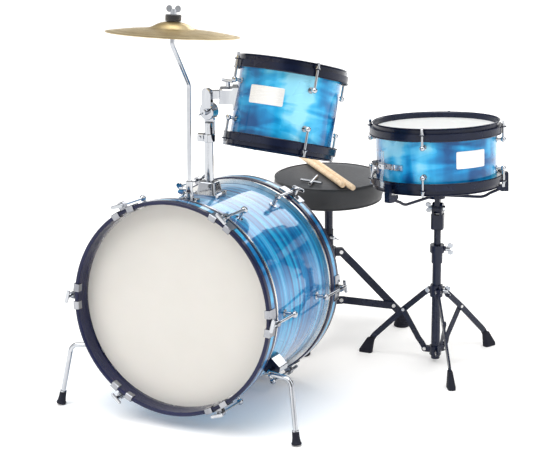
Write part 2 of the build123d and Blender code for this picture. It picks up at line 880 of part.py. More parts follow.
with BuildPart() as snare_hoops:
    with Locations(snare_place):
        with Locations(drum_ends(snare_half)):
            add(flanged_hoop(snare_radius, snare_rod_circle))
        with Locations(strap_turns):
            with Locations((snare_radius + 15, 0, -snare_half + 5)):
                Box(14, 16, 18.5, mode=Mode.SUBTRACT)
            with Locations((snare_radius + 4, 0, -snare_half - 4)):
                Box(6, 14, 2.6, mode=Mode.SUBTRACT)
write(snare_hoops, "snare_hoops")

with BuildPart() as snare_tension_rods:
    with Locations(snare_place):
        with Locations(both_ends):
            with Locations(around(4)):
                add(key_rod(snare_rod_circle, snare_half, snare_ball_height))
write(snare_tension_rods, "snare_tension_rods")

with BuildPart() as snare_lugs:
    with Locations(snare_place):
        with Locations(both_ends):
            with Locations(around(4)):
                add(ball_lug(snare_radius, snare_rod_circle, snare_ball_height))
write(snare_lugs, "snare_lugs")

# Snare wires soldered to two end plates, each pulled by a clear strap.
wire_level = -snare_half - 2.4
wire_count = 12
strap = strip(
    [
        (80, wire_level - 1.4),
        (126, wire_level - 1.4),
        (138.8, wire_level - 2),
        (139.4, -38),
        (strap_circle, -25),
        (strap_circle, 18),
    ],
    [6, 2.5, 2.5, 10],
    0.8,
    strap_width,
)
with BuildPart() as wire_strand:
    with GridLocations(0, 2.6, 1, wire_count):
        with Locations((0, 0, wire_level)):
            Cylinder(0.55, 172, rotation=(0, 90, 0))
    with Locations((86, 0, wire_level - 0.4), (-86, 0, wire_level - 0.4)):
        Box(9, 34, 0.9)
with BuildPart() as snare_wires:
    with Locations(snare_place):
        with Locations(strap_turns):
            add(strap)
        with Locations(strap_turns[0]):
            add(wire_strand.part)
write(snare_wires, "snare_wires")


def wall_plate(first, last):
    """A curved plate hugging the snare shell between two angles."""
    return turned(
        [
            (snare_radius + 0.2, -21),
            (snare_radius + 2, -21),
            (snare_radius + 2, -9),
            (snare_radius + 0.2, -9),
        ],
        arc=last - first,
        start=first,
    )


# Strap clamp: two jaws with the strap between, closed by two screws.
with BuildPart() as strap_jaws:
    with Locations((snare_radius + 5, 0, -15)):
        Box(6.8, 19, 10)
    with Locations((snare_radius + 10.5, 0, -15)):
        Box(1.8, 19, 10)
    for side in (-1, 1):
        add(bar((snare_radius + 8, side * 7.6, -15), (snare_radius + 12.6, side * 7.6, -15), 1.7))
        add(bar((snare_radius + 11.3, side * 7.6, -15), (snare_radius + 12.9, side * 7.6, -15), 2.6))

lever_angle = -14
lever_turn = Location((0, 0, 0), (0, 0, lever_angle))
pivot_out = snare_radius + 12
pivot_up = -12
with BuildPart() as lever_ears:
    for side in (-1, 1):
        with Locations((snare_radius + 6, side * 4.2, pivot_up)):
            Box(10, 2, 10)
        with Locations((pivot_out - 1, side * 4.2, pivot_up)):
            Cylinder(5, 2, rotation=(90, 0, 0))
    add(bar((pivot_out, -6.2, pivot_up), (pivot_out, 6.2, pivot_up), 1.8))

with BuildPart() as plate_screw:
    Cylinder(2.9, 1.6, align=low_end)
    fillet(plate_screw.edges().group_by(Axis.Z)[-1], 0.7)

with BuildPart() as snare_strainer:
    with Locations(snare_place):
        with Locations(strap_turns[0]):
            add(wall_plate(-18, 22))
            add(strap_jaws.part)
            with Locations(lever_turn):
                add(lever_ears.part)
            for angle in (8.5, 19.5):
                with Locations(Location((0, 0, 0), (0, 0, angle))):
                    with Locations(Location((snare_radius + 1.9, 0, -15), (0, 90, 0))):
                        add(plate_screw.part)
write(snare_strainer, "snare_strainer")

with BuildPart() as snare_butt_plate:
    with Locations(snare_place):
        with Locations(strap_turns[1]):
            add(wall_plate(-9, 9))
            add(strap_jaws.part)
write(snare_butt_plate, "snare_butt_plate")

lever_arm = strip(
    [
        (pivot_out, pivot_up),
        (pivot_out + 2, pivot_up - 13),
        (pivot_out + 5.6, pivot_up - 33),
    ],
    [20],
    3,
    5.6,
)
with BuildPart() as lever_blank:
    add(lever_arm)
    with Locations((pivot_out, 0, pivot_up)):
        Cylinder(4.2, 5.6, rotation=(90, 0, 0))
    with Locations((pivot_out + 5.2, 0, pivot_up - 31)):
        Cylinder(2.6, 12, rotation=(90, 0, 0))
    with Locations((pivot_out, 0, pivot_up)):
        Cylinder(1.8 + running_fit, 20, rotation=(90, 0, 0), mode=Mode.SUBTRACT)
with BuildPart() as snare_lever:
    with Locations(snare_place):
        with Locations(strap_turns[0]):
            with Locations(lever_turn):
                add(lever_blank.part)
write(snare_lever, "snare_lever")


# -------------------------------------------------------------- snare stand
stand_collar_out = 17
stand_collar_up = 163
stand_pin_out = 73.5
stand_pin_up = 111
stand_heel_out = 24
stand_heel_up = 27
stand_pin_radius = 2.2
brace_step = stand_leg_thick / 2 + 0.4 + stand_brace_thick / 2
brace_run = hypot(stand_pin_out - stand_heel_out, stand_pin_up - stand_heel_up)
brace_rise = atan2(stand_pin_up - stand_heel_up, stand_pin_out - stand_heel_out)
knuckle_up = 347
knuckle_azimuth = 8


def stand_turns():
    """The three leg directions of the snare stand."""
    return [Location((0, 0, 0), (0, 0, azimuth)) for azimuth in stand_azimuths]


def fork(root, reach, height, half_width, gap, thickness, pin):
    """Two pivot plates with a riveted pin between them."""
    with BuildPart() as blank:
        add(ear(root, reach, height, half_width, gap, gap + thickness, pin - 0.5))
        add(ear(root, reach, height, half_width, -gap - thickness, -gap, pin - 0.5))
        for side in (-1, 1):
            outer = side * (gap + thickness)
            add(bar((reach, outer - side * 0.5, height), (reach, outer + side * 1.4, height), pin + 1.6))
        add(bar((reach, -gap - thickness, height), (reach, gap + thickness, height), pin))
    return blank.part


with BuildPart() as stand_base_tube:
    with Locations(stand_place):
        add(tube((0, 0, 11), (0, 0, 226.5), stand_tube_radius, 8.2))
        add(bar((0, 0, 8), (0, 0, 11.5), stand_tube_radius))
        add(tube((0, 0, 226), (0, 0, 250), 12, stand_inner_radius + running_fit))
        add(tube((0, 0, 249.5), (0, 0, 266), 15.5, stand_inner_radius + running_fit))
        add(tube((0, 0, 17), (0, 0, 37), 13, 9))
        with Locations(stand_turns()):
            add(fork(11, stand_heel_out, stand_heel_up, 6.5, 1.9, 2.2, stand_pin_radius))
        with Locations(Location((0, 0, 258), (0, 0, 10))):
            add(bar((14, 0, 0), (19, 0, 0), 5.2))
            add(bar((9, 0, 0), (20, 0, 0), 3), mode=Mode.SUBTRACT)
write(stand_base_tube, "stand_base_tube")

with BuildPart() as stand_leg_collar:
    with Locations(stand_place):
        add(tube((0, 0, 150), (0, 0, 176), 13.5, stand_tube_radius + running_fit))
        with Locations(stand_turns()):
            with Locations((20, 0, 163)):
                Box(19.4, 2 * stand_leg_thick / 2 + 0.8, 30, mode=Mode.SUBTRACT)
        with Locations(stand_turns()):
            add(fork(12.4, stand_collar_out, stand_collar_up, 6.6, 2.4, 2.3, stand_pin_radius))
        with Locations(Location((0, 0, 163), (0, 0, 1))):
            add(bar((12, 0, 0), (16, 0, 0), 5))
            add(bar((9.4, 0, 0), (17, 0, 0), 3), mode=Mode.SUBTRACT)
    with Locations(stand_place):
        with Locations(Location((0, 0, 163), (0, 0, 1))):
            with Locations(Location((16.2, 0, 0), (0, 90, 0))):
                add(wing_bolt(5))
write(stand_leg_collar, "stand_leg_collar")

leg_path = [
    (stand_collar_out, stand_collar_up),
    (30, 152),
    (stand_pin_out, stand_pin_up),
    (141, 42),
    (153, 22),
    (160.4, 3),
]
with BuildPart() as boot_blank:
    with BuildSketch():
        with Locations((161, 0)):
            RectangleRounded(30, 16, 6)
    with BuildSketch(Plane.XY.offset(6)):
        with Locations((160.4, 0)):
            RectangleRounded(30, 16, 6)
    with BuildSketch(Plane.XY.offset(34)):
        with Locations((149, 0)):
            RectangleRounded(17, 9.4, 4)
    loft(ruled=True)
    add(strip(leg_path, [20, 40, 30, 20], stand_leg_width + 0.1, stand_leg_thick + 0.1), mode=Mode.SUBTRACT)
with BuildPart() as stand_leg:
    add(strip(leg_path, [20, 40, 30, 20], stand_leg_width, stand_leg_thick))
    with Locations((stand_collar_out, 0, stand_collar_up)):
        Cylinder(stand_leg_width / 2, stand_leg_thick, rotation=(90, 0, 0))
        Cylinder(stand_pin_radius + running_fit, 20, rotation=(90, 0, 0), mode=Mode.SUBTRACT)
    with Locations(Location((stand_pin_out, -stand_leg_thick / 2, stand_pin_up), (90, 0, 0))):
        add(pin_head(3.8, 1.5))
    add(boot_blank.part)
for number, azimuth in enumerate(stand_azimuths):
    with BuildPart() as stand_leg_placed:
        with Locations(stand_place):
            with Locations(Location((0, 0, 0), (0, 0, azimuth))):
                add(stand_leg.part)
    write(stand_leg_placed, f"stand_leg_{number + 1}")

brace_place = Plane(
    origin=(stand_heel_out, 0, stand_heel_up),
    x_dir=(cos(brace_rise), 0, sin(brace_rise)),
    z_dir=(-sin(brace_rise), 0, cos(brace_rise)),
).location
with BuildPart() as stand_brace:
    with Locations(brace_place):
        add(link(brace_run, 12, stand_brace_thick, brace_step, 14, 27, stand_pin_radius + running_fit))
        with Locations(Location((brace_run, brace_step + stand_brace_thick / 2, 0), (-90, 0, 0))):
            add(pin_head(3.8, 1.5))
for number, azimuth in enumerate(stand_azimuths):
    with BuildPart() as stand_brace_placed:
        with Locations(stand_place):
            with Locations(Location((0, 0, 0), (0, 0, azimuth))):
                add(stand_brace.part)
    write(stand_brace_placed, f"stand_brace_{number + 1}")

# Upper tube with the tilter's fork; the fork's screw runs along local X.
knuckle_place = Location((0, 0, knuckle_up), (0, 0, knuckle_azimuth))
with BuildPart() as fork_block:
    with BuildSketch(Plane.XY.offset(301 - knuckle_up)):
        RectangleRounded(27, 25, 6)
    extrude(amount=33)
    with BuildSketch(Plane.YZ):
        Circle(12.5)
        with Locations((0, -10)):
            Rectangle(25, 20)
    extrude(amount=11, both=True)
    Box(12, 40, 26.6, mode=Mode.SUBTRACT)
    with Locations((0, 0, 12)):
        Box(12, 40, 20, mode=Mode.SUBTRACT)
    chamfer(fork_block.faces().sort_by(Axis.Z)[0].edges(), 1.5)
    Cylinder(3.25, 60, rotation=(0, 90, 0), mode=Mode.SUBTRACT)
with BuildPart() as fork_nut:
    with BuildSketch():
        RegularPolygon(6.5, 6)
    extrude(amount=5)
with BuildPart() as stand_upper_tube:
    with Locations(stand_place):
        add(bar((0, 0, 112), (0, 0, 303), stand_inner_radius))
        with Locations(knuckle_place):
            add(fork_block.part)
            add(bar((-12, 0, 0), (12, 0, 0), 3.2))
            with Locations(Location((-11.3, 0, 0), (25, -90, 0))):
                add(wing_bolt(2, 3.2, 26))
            with Locations(Location((11.3, 0, 0), (0, 90, 0))):
                add(fork_nut.part)
write(stand_upper_tube, "stand_upper_tube")

# Basket: hub, three rods and their rubber hooks, in the snare's frame.
basket_rod = bent([(8, 0, -91), (99, 0, -98), (112, 0, -90), (144, 0, -77.5)], [30, 10], 3.2)
with BuildPart() as basket_hook:
    with BuildSketch(Plane.XZ):
        with BuildLine():
            FilletPolyline(
                (124, -71.8),
                (143.4, -71.8),
                (143.4, -45),
                (151, -45),
                (151, -86),
                (136, -86),
                (124, -79),
                radius=[1.5, 0.5, 2, 2, 2, 2, 1.5],
                close=True,
            )
        make_face()
    extrude(amount=7, both=True)
with BuildPart() as knuckle_tongue:
    with BuildSketch(Plane.YZ):
        Circle(11.5)
        with Locations((0, 13)):
            Rectangle(19, 28)
    extrude(amount=5.6, both=True)
    Cylinder(3.25, 60, rotation=(0, 90, 0), mode=Mode.SUBTRACT)
with BuildPart() as snare_basket:
    with Locations(snare_place):
        with Locations((0, 0, -92)):
            Cylinder(18, 11)
        for angle in basket_angles:
            with Locations(Location((0, 0, 0), (0, 0, angle))):
                add(basket_rod)
                add(basket_hook.part)
    with Locations(stand_place):
        with Locations(knuckle_place):
            add(knuckle_tongue.part)
write(snare_basket, "snare_basket")


# ------------------------------------------------------------------- throne
throne_hip_out = 28.3
throne_hip_up = 187.4
throne_ring_out = 28.4
throne_ring_up = 72
throne_pin_out = 150
throne_pin_up = 51.5
throne_pin_radius = 2.8
throne_leg_step = 5.2
throne_leg_fall = atan2(throne_pin_up - throne_hip_up, throne_pin_out - throne_hip_out)
throne_brace_fall = atan2(throne_pin_up - throne_ring_up, throne_pin_out - throne_ring_out)
throne_brace_run = hypot(throne_pin_out - throne_ring_out, throne_pin_up - throne_ring_up)
throne_leg_run = 212
throne_pin_run = hypot(throne_pin_out - throne_hip_out, throne_pin_up - throne_hip_up)
foot_out = throne_hip_out + throne_leg_run * cos(throne_leg_fall)


def throne_turns():
    """The three leg directions of the throne."""
    return [Location((0, 0, 0), (0, 0, azimuth)) for azimuth in throne_azimuths]


with BuildPart() as throne_base_tube:
    with Locations(throne_place):
        add(tube((0, 0, 64), (0, 0, 205), throne_tube_radius, 9.9))
        add(bar((0, 0, 60), (0, 0, 64.5), throne_tube_radius))
        add(tube((0, 0, 204), (0, 0, 242), throne_tube_radius, throne_post_radius + running_fit))
        add(tube((0, 0, 176), (0, 0, 199), 17, 10.5))
        with Locations(throne_turns()):
            add(fork(15, throne_hip_out, throne_hip_up, 9, 2.9, 2.5, throne_pin_radius))
        with Locations(Location((0, 0, 226), (0, 0, -35))):
            add(bar((10.3, 0, 0), (15.5, 0, 0), 5.5))
            add(bar((9, 0, 0), (17, 0, 0), 3), mode=Mode.SUBTRACT)
write(throne_base_tube, "throne_base_tube")

with BuildPart() as throne_brace_collar:
    with Locations(throne_place):
        add(tube((0, 0, 62), (0, 0, 82), 16, throne_tube_radius + running_fit))
        with Locations(throne_turns()):
            add(ear(14, throne_ring_out, throne_ring_up, 9, -4.6, -1.9, 1))
            for low, high, radius in ((-6, 2.2, throne_pin_radius), (-6, -4.5, 4.4), (1.7, 2.3, 4.4)):
                with Locations((throne_ring_out, 0, throne_ring_up)):
                    add(bar((0, low, 0), (0, high, 0), radius))
write(throne_brace_collar, "throne_brace_collar")

# A ribbed rubber cone on the end of each leg.
throne_leg_place = Plane(
    origin=(throne_hip_out, 0, throne_hip_up),
    x_dir=(cos(throne_leg_fall), 0, sin(throne_leg_fall)),
    z_dir=(-sin(throne_leg_fall), 0, cos(throne_leg_fall)),
).location
throne_foot = turned([
    (0, 0),
    (16.5, 0),
    (18, 1.5),
    (18, 6),
    (16.4, 7),
    (17.2, 11),
    (15.6, 12),
    (16.2, 17),
    (14.6, 18),
    (15, 24),
    (13.2, 26),
    (13, 33),
    (11, 35.5),
    (0, 35.5),
])
with BuildPart() as throne_leg:
    with Locations(throne_leg_place):
        add(link(
            throne_leg_run, throne_leg_width, throne_leg_thick, throne_leg_step,
            22, 46, throne_pin_radius + running_fit,
        ))
        with Locations(Location((throne_leg_run, throne_leg_step, 0))):
            Box(30, 4.98, 16.96)
        with Locations(Location((throne_pin_run, 1.9, 0), (-90, 0, 0))):
            Cylinder(6, 0.9, align=low_end)
        with Locations(Location((throne_pin_run, 7.6, 0), (-90, 0, 0))):
            add(pin_head(4.6, 1.6))
    with Locations((foot_out, 0, 0)):
        Box(60, 60, 8, align=(Align.CENTER, Align.CENTER, Align.MAX), mode=Mode.SUBTRACT)
    with Locations((foot_out + 1, throne_leg_step, 0)):
        add(throne_foot)
for number, azimuth in enumerate(throne_azimuths):
    with BuildPart() as throne_leg_placed:
        with Locations(throne_place):
            with Locations(Location((0, 0, 0), (0, 0, azimuth))):
                add(throne_leg.part)
    write(throne_leg_placed, f"throne_leg_{number + 1}")

throne_brace_place = Plane(
    origin=(throne_ring_out, 0, throne_ring_up),
    x_dir=(cos(throne_brace_fall), 0, sin(throne_brace_fall)),
    z_dir=(-sin(throne_brace_fall), 0, cos(throne_brace_fall)),
).location
with BuildPart() as throne_brace:
    with Locations(throne_brace_place):
        add(link(throne_brace_run, 17, throne_brace_thick, 0, 30, 60, throne_pin_radius + running_fit))
        with Locations(Location((throne_brace_run, -throne_brace_thick / 2, 0), (90, 0, 0))):
            add(pin_head(4.6, 1.6))
for number, azimuth in enumerate(throne_azimuths):
    with BuildPart() as throne_brace_placed:
        with Locations(throne_place):
            with Locations(Location((0, 0, 0), (0, 0, azimuth))):
                add(throne_brace.part)
    write(throne_brace_placed, f"throne_brace_{number + 1}")

with BuildPart() as seat_post:
    with Locations(throne_place):
        add(bar((0, 0, 118), (0, 0, 312), throne_post_radius))
        add(turned([(9, 296), (14, 300), (17, 310), (60, 310.7), (60, 314.6), (9, 314.6)]))
write(seat_post, "seat_post")

with BuildPart() as seat_cushion:
    with Locations(throne_place):
        add(bar((0, 0, seat_low), (0, 0, seat_high), seat_radius))
    fillet(seat_cushion.edges().group_by(Axis.Z)[-1], 14)
    fillet(seat_cushion.edges().group_by(Axis.Z)[0], 7)
write(seat_cushion, "seat_cushion")

# A pair of sticks and a drum key lie on the seat.
stick_outline = [
    (0, 0),
    (3.6, 0.3),
    (5.4, 1.4),
    (6.2, 3.4),
    (6.3, 6),
    (6.3, 290),
    (5.8, 318),
    (4.4, 350),
    (3.3, 364),
    (3.6, 367),
    (4.7, 370),
    (4.9, 373.5),
    (4.4, 377.5),
    (3, 379.6),
    (0, 380),
]
stick = turned(stick_outline)
stick_run = Vector(-0.675, 0.738, 0)
with BuildPart() as drumsticks:
    for butt in ((143.6, 536.6), (172.9, 524.2)):
        with Locations(Plane(origin=station(*butt, seat_high + 6.6), z_dir=stick_run).location):
            add(stick)
write(drumsticks, "drumsticks")

key_level = seat_high + 4.2
key_socket = station(68.4, 530, key_level)
key_top = station(56.9, 595.6, key_level)
with BuildPart() as drum_key:
    add(bar(station(35.8, 557, key_level), station(90, 545.6, key_level), 3.2))
    add(bar(key_socket, key_top, 3.7))
    with Locations(Plane(origin=key_socket, z_dir=key_top - key_socket).location):
        Box(4.4, 4.4, 24, mode=Mode.SUBTRACT)
write(drum_key, "drum_key")


# ------------------------------------------- fixed bolts of the whole kit
with BuildPart() as clamp_bolts:
    with Locations(post_place):
        with Locations(plate_screws):
            add(cap_screw.part)
    with Locations(arm_place):
        with Locations((-14, 0, 1.6), (14, 0, 1.6)):
            add(cap_screw.part)
        with Locations(Location((-12.1, 0, 20), (20, -90, 0))):
            add(wing_bolt(5.8, 2.9, 24))
    with Locations(bass_place):
        add(spur_screws.part)
    with Locations(stand_place):
        with Locations(Location((0, 0, 258), (0, 0, 10))):
            with Locations(Location((19.2, 0, 0), (10, 90, 0))):
                add(wing_bolt(8, 2.9, 26))
    with Locations(throne_place):
        with Locations(Location((0, 0, 226), (0, 0, -35))):
            with Locations(Location((15.7, 0, 0), (70, 90, 0))):
                add(wing_bolt(5.5, 2.9, 22))
write(clamp_bolts, "clamp_bolts")
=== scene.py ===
import json
import math
import bmesh
import bpy
from mathutils import Matrix, Vector, noise


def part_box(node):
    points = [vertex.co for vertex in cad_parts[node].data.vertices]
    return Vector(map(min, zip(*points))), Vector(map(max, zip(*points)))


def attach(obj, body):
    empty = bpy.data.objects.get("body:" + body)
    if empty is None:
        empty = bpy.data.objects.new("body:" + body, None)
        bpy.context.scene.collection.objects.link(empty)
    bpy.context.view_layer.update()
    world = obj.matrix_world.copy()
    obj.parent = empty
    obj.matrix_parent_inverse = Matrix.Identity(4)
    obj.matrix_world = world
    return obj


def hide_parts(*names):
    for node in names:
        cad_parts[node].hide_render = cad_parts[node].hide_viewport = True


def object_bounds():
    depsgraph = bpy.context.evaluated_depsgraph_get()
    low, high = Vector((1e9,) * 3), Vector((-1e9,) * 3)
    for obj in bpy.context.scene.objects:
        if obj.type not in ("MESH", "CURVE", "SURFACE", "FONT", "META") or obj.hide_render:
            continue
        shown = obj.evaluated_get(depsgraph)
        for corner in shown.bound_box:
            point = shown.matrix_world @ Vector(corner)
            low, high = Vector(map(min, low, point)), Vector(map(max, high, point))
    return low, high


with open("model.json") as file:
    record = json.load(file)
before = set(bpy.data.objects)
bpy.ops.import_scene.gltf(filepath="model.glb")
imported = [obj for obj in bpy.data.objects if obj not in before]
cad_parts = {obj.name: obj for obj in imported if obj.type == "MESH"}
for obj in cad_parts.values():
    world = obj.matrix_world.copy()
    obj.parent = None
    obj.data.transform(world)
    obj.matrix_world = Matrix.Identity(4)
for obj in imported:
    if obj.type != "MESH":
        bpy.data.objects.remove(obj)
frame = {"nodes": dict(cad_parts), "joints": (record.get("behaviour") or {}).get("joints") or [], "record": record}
cad_low, cad_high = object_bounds()
nodes = frame["nodes"]
joints = {joint["name"]: joint for joint in frame["joints"]}

# Leans of the drums and the cymbal, in degrees: tilt, the azimuth it leans to, the azimuth it faces.
BASS_LEAN = (-85.08, 90, 0)
TOM_LEAN = (17.5, 79.8, -43.2)
SNARE_LEAN = (5, 127.6, -82)
CYMBAL_LEAN = (7.2, 84, 0)
SPUR_FOOT = 0.0285
STAND_BOOT = 0.0345
THRONE_FOOT = 0.036

# Badges, told in a drum's own frame: from and to an angle in degrees, from and to a height in metres.
TOM_BADGE = (-69.6, -28.2, -0.0030, 0.0322)
SNARE_BADGE = (30.0, 61.4, -0.0160, 0.0195)
TOM_RADIUS = 0.1016
SNARE_RADIUS = 0.127
BADGE_LIFT = 0.0005
BADGE_THICK = 0.0009
BADGE_CORNER = 0.0028
BADGE_GRID = (36, 18)


# ---------------------------------------------------------------- frames
def toward(azimuth, lean=90):
    """A unit vector leaning from straight up toward an azimuth, in degrees."""
    tip = math.radians(lean)
    turn = math.radians(azimuth)
    return Vector((math.sin(tip) * math.cos(turn), math.sin(tip) * math.sin(turn), math.cos(tip)))


def middle(node):
    low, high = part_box(node)
    return (low + high) / 2


def leaning(origin, lean):
    """A frame whose Z leans toward an azimuth and whose X looks along another."""
    tilt, azimuth, facing = lean
    z_dir = toward(azimuth, tilt)
    flat = toward(facing)
    x_dir = (flat - z_dir * flat.dot(z_dir)).normalized()
    y_dir = z_dir.cross(x_dir)
    made = Matrix((x_dir, y_dir, z_dir)).transposed().to_4x4()
    made.translation = origin
    return made


bass_frame = leaning(middle("bass_shell"), BASS_LEAN)
tom_frame = leaning(middle("tom_shell"), TOM_LEAN)
snare_frame = leaning(middle("snare_shell"), SNARE_LEAN)
cymbal_frame = leaning(middle("cymbal"), CYMBAL_LEAN)


# ---------------------------------------------------------------- materials
class Look:
    """A procedural material being put together."""

    def __init__(self, name, **values):
        self.material = bpy.data.materials.new(name)
        self.material.use_nodes = True
        self.tree = self.material.node_tree
        self.shader = self.tree.nodes["Principled BSDF"]
        for socket, value in values.items():
            self.shader.inputs[socket.replace("_", " ")].default_value = value

    def node(self, kind, inputs, **settings):
        made = self.tree.nodes.new("ShaderNode" + kind)
        for key, value in settings.items():
            setattr(made, key, value)
        for socket, value in inputs.items():
            if isinstance(value, bpy.types.NodeSocket):
                self.tree.links.new(value, made.inputs[socket])
            else:
                made.inputs[socket].default_value = value
        return made

    def local(self, place=None):
        """Coordinates in a piece's own frame, which move with it."""
        point = self.node("TexCoord", {}).outputs["Object"]
        if place is None:
            return point
        settled = self.node(
            "Mapping",
            {"Vector": point, "Location": place.translation, "Rotation": place.to_euler()},
            vector_type="TEXTURE",
        )
        return settled.outputs["Vector"]

    def stretched(self, vector, scale):
        return self.node("Mapping", {"Vector": vector, "Scale": scale}).outputs["Vector"]

    def noise(self, vector, scale, detail=2.0, roughness=0.5, distortion=0.0):
        return self.node("TexNoise", {
            "Vector": vector, "Scale": scale, "Detail": detail,
            "Roughness": roughness, "Distortion": distortion,
        }).outputs["Fac"]

    def cells(self, vector, scale):
        return self.node("TexVoronoi", {"Vector": vector, "Scale": scale}).outputs["Distance"]

    def radius(self, vector):
        """Distance from the frame's Z axis."""
        flat = self.node("VectorMath", {0: vector, 1: (1, 1, 0)}, operation="MULTIPLY").outputs["Vector"]
        return self.node("VectorMath", {0: flat}, operation="LENGTH").outputs["Value"]

    def math(self, operation, first, second):
        return self.node("Math", {0: first, 1: second}, operation=operation).outputs["Value"]

    def span(self, value, low, high, from_low=0.3, from_high=0.7):
        return self.node("MapRange", {
            "Value": value, "From Min": from_low, "From Max": from_high, "To Min": low, "To Max": high,
        }).outputs["Result"]

    def ramp(self, value, stops):
        made = self.node("ValToRGB", {"Fac": value})
        band = made.color_ramp
        while len(band.elements) < len(stops):
            band.elements.new(0.5)
        for element, (position, colour) in zip(band.elements, stops):
            element.position = position
            element.color = (*colour, 1)
        return made.outputs["Color"]

    def mix(self, factor, first, second):
        return self.node("Mix", {"Factor": factor, 6: first, 7: second}, data_type="RGBA").outputs[2]

    def bump(self, height, strength, distance):
        made = self.node("Bump", {"Height": height, "Strength": strength, "Distance": distance})
        self.into("Normal", made.outputs["Normal"])

    def into(self, socket, value):
        self.tree.links.new(value, self.shader.inputs[socket])


def wrap_look(name, place, band_scale, reflection_ripple_scale, reflection_ripple_share, stops):
    """Pearl wrap under a clear gloss skin: bands of blue with rippled streaks in them, partly the wrap's own pearl
    and partly painted reflection and painted shade in the base colour.
    """
    look = Look(name, Metallic=0.15, Specular_IOR_Level=0.1,
                Coat_Weight=1.0, Coat_Roughness=0.02, Coat_IOR=1.42)
    local = look.local(place)
    bands = look.noise(look.stretched(local, band_scale), 1.0, 1.5, 0.5, 0.3)
    ripples_with_painted_reflection = look.noise(look.stretched(local, reflection_ripple_scale), 1.0, 2.0, 0.55, 0.8)
    fine = look.noise(look.stretched(local, [3 * part for part in band_scale]), 1.0, 2.0, 0.5, 0.1)
    tone = look.math("ADD", look.math("MULTIPLY", bands, 1 - reflection_ripple_share),
                     look.math("MULTIPLY", ripples_with_painted_reflection, reflection_ripple_share))
    tone = look.math("ADD", look.math("MULTIPLY", tone, 0.9), look.math("MULTIPLY", fine, 0.1))
    # Painted reflection and painted shade go into the base colour here, over the pearl's own bands.
    look.into("Base Color", look.ramp(tone, stops))
    look.into("Roughness", look.span(ripples_with_painted_reflection, 0.2, 0.36))
    look.bump(look.noise(local, 60.0, 1.0), 0.04, 0.0004)
    return look.material


def lacquer_look(name, place):
    """Near-black lacquer over wood, with faint grain telegraphing through."""
    look = Look(name, Specular_IOR_Level=0.25, Coat_Weight=0.2, Coat_Roughness=0.08)
    local = look.local(place)
    grain = look.noise(look.stretched(local, (14, 14, 520)), 1.0, 3.0, 0.6, 0.2)
    cloud = look.noise(local, 9.0, 2.0)
    look.into("Base Color", look.ramp(cloud, [(0.3, (0.004, 0.006, 0.030)), (0.7, (0.008, 0.011, 0.055))]))
    look.into("Roughness", look.span(grain, 0.22, 0.36))
    look.bump(grain, 0.10, 0.0003)
    return look.material


def enamel_look(name):
    """Black stove enamel with an orange-peel skin."""
    look = Look(name, Specular_IOR_Level=0.35)
    local = look.local()
    peel = look.noise(local, 950.0, 2.0, 0.55)
    cloud = look.noise(local, 14.0, 3.0, 0.6)
    look.into("Base Color", look.ramp(cloud, [(0.3, (0.003, 0.006, 0.020)), (0.7, (0.006, 0.011, 0.036))]))
    look.into("Roughness", look.span(cloud, 0.20, 0.32))
    look.bump(peel, 0.16, 0.0003)
    return look.material


def film_look(name, place, radius, middle_colour, rim_colour):
    """Coated drum-head film, a little lighter where it rolls over its edge."""
    look = Look(name, Subsurface_Weight=0.05, Subsurface_Scale=0.01)
    local = look.local(place)
    ring = look.span(look.radius(local), 0.0, 1.0, radius * 0.90, radius * 0.985)
    cloud = look.noise(local, 7.0, 4.0, 0.6)
    coat = look.noise(local, 900.0, 3.0, 0.65)
    tint = look.ramp(cloud, [
        (0.3, tuple(part * 0.955 for part in middle_colour)),
        (0.7, middle_colour),
    ])
    edge = look.ramp(cloud, [(0.3, tuple(part * 0.97 for part in rim_colour)), (0.7, rim_colour)])
    look.into("Base Color", look.mix(ring, tint, edge))
    look.into("Roughness", look.span(coat, 0.34, 0.52))
    look.bump(coat, 0.10, 0.0002)
    return look.material


def metal_look(name, dark, light, smooth, rough, wear=0.02):
    """Plated or polished metal with faint smears."""
    look = Look(name, Metallic=1.0)
    local = look.local()
    smear = look.noise(look.stretched(local, (1.0, 1.0, 0.35)), 42.0, 4.0, 0.62, 0.6)
    look.into("Base Color", look.ramp(smear, [(0.32, dark), (0.68, light)]))
    look.into("Roughness", look.span(smear, smooth, rough))
    look.bump(look.noise(local, 240.0, 2.0), wear, 0.0002)
    return look.material


def brass_look(name, place):
    """Lathed cymbal bronze: fine rings, broad rings of tone and soft hammering."""
    look = Look(name, Metallic=1.0)
    local = look.local(place)
    out = look.radius(local)
    rings = look.node("TexNoise", {"W": out, "Scale": 900.0, "Detail": 3.0, "Roughness": 0.6},
                      noise_dimensions="1D").outputs["Fac"]
    bands = look.node("TexNoise", {"W": out, "Scale": 120.0, "Detail": 2.0},
                      noise_dimensions="1D").outputs["Fac"]
    hammer = look.noise(look.stretched(local, (1, 1, 0.2)), 42.0, 2.0, 0.5)
    tone = look.math("ADD", look.math("MULTIPLY", bands, 0.5), look.math("MULTIPLY", hammer, 0.5))
    look.into("Base Color", look.ramp(tone, [
        (0.34, (0.60, 0.44, 0.20)),
        (0.50, (0.74, 0.57, 0.29)),
        (0.66, (0.85, 0.70, 0.42)),
    ]))
    look.into("Roughness", look.span(rings, 0.27, 0.42))
    height = look.math("ADD", look.math("MULTIPLY", rings, 0.25), look.math("MULTIPLY", hammer, 1.0))
    look.bump(height, 0.22, 0.0006)
    return look.material


def rubber_look(name):
    look = Look(name, Specular_IOR_Level=0.2)
    local = look.local()
    cloud = look.noise(local, 60.0, 4.0, 0.65)
    look.into("Base Color", look.ramp(cloud, [(0.3, (0.007, 0.008, 0.015)), (0.7, (0.016, 0.017, 0.028))]))
    look.into("Roughness", look.span(cloud, 0.55, 0.8))
    look.bump(look.noise(local, 1600.0, 2.0), 0.2, 0.0003)
    return look.material


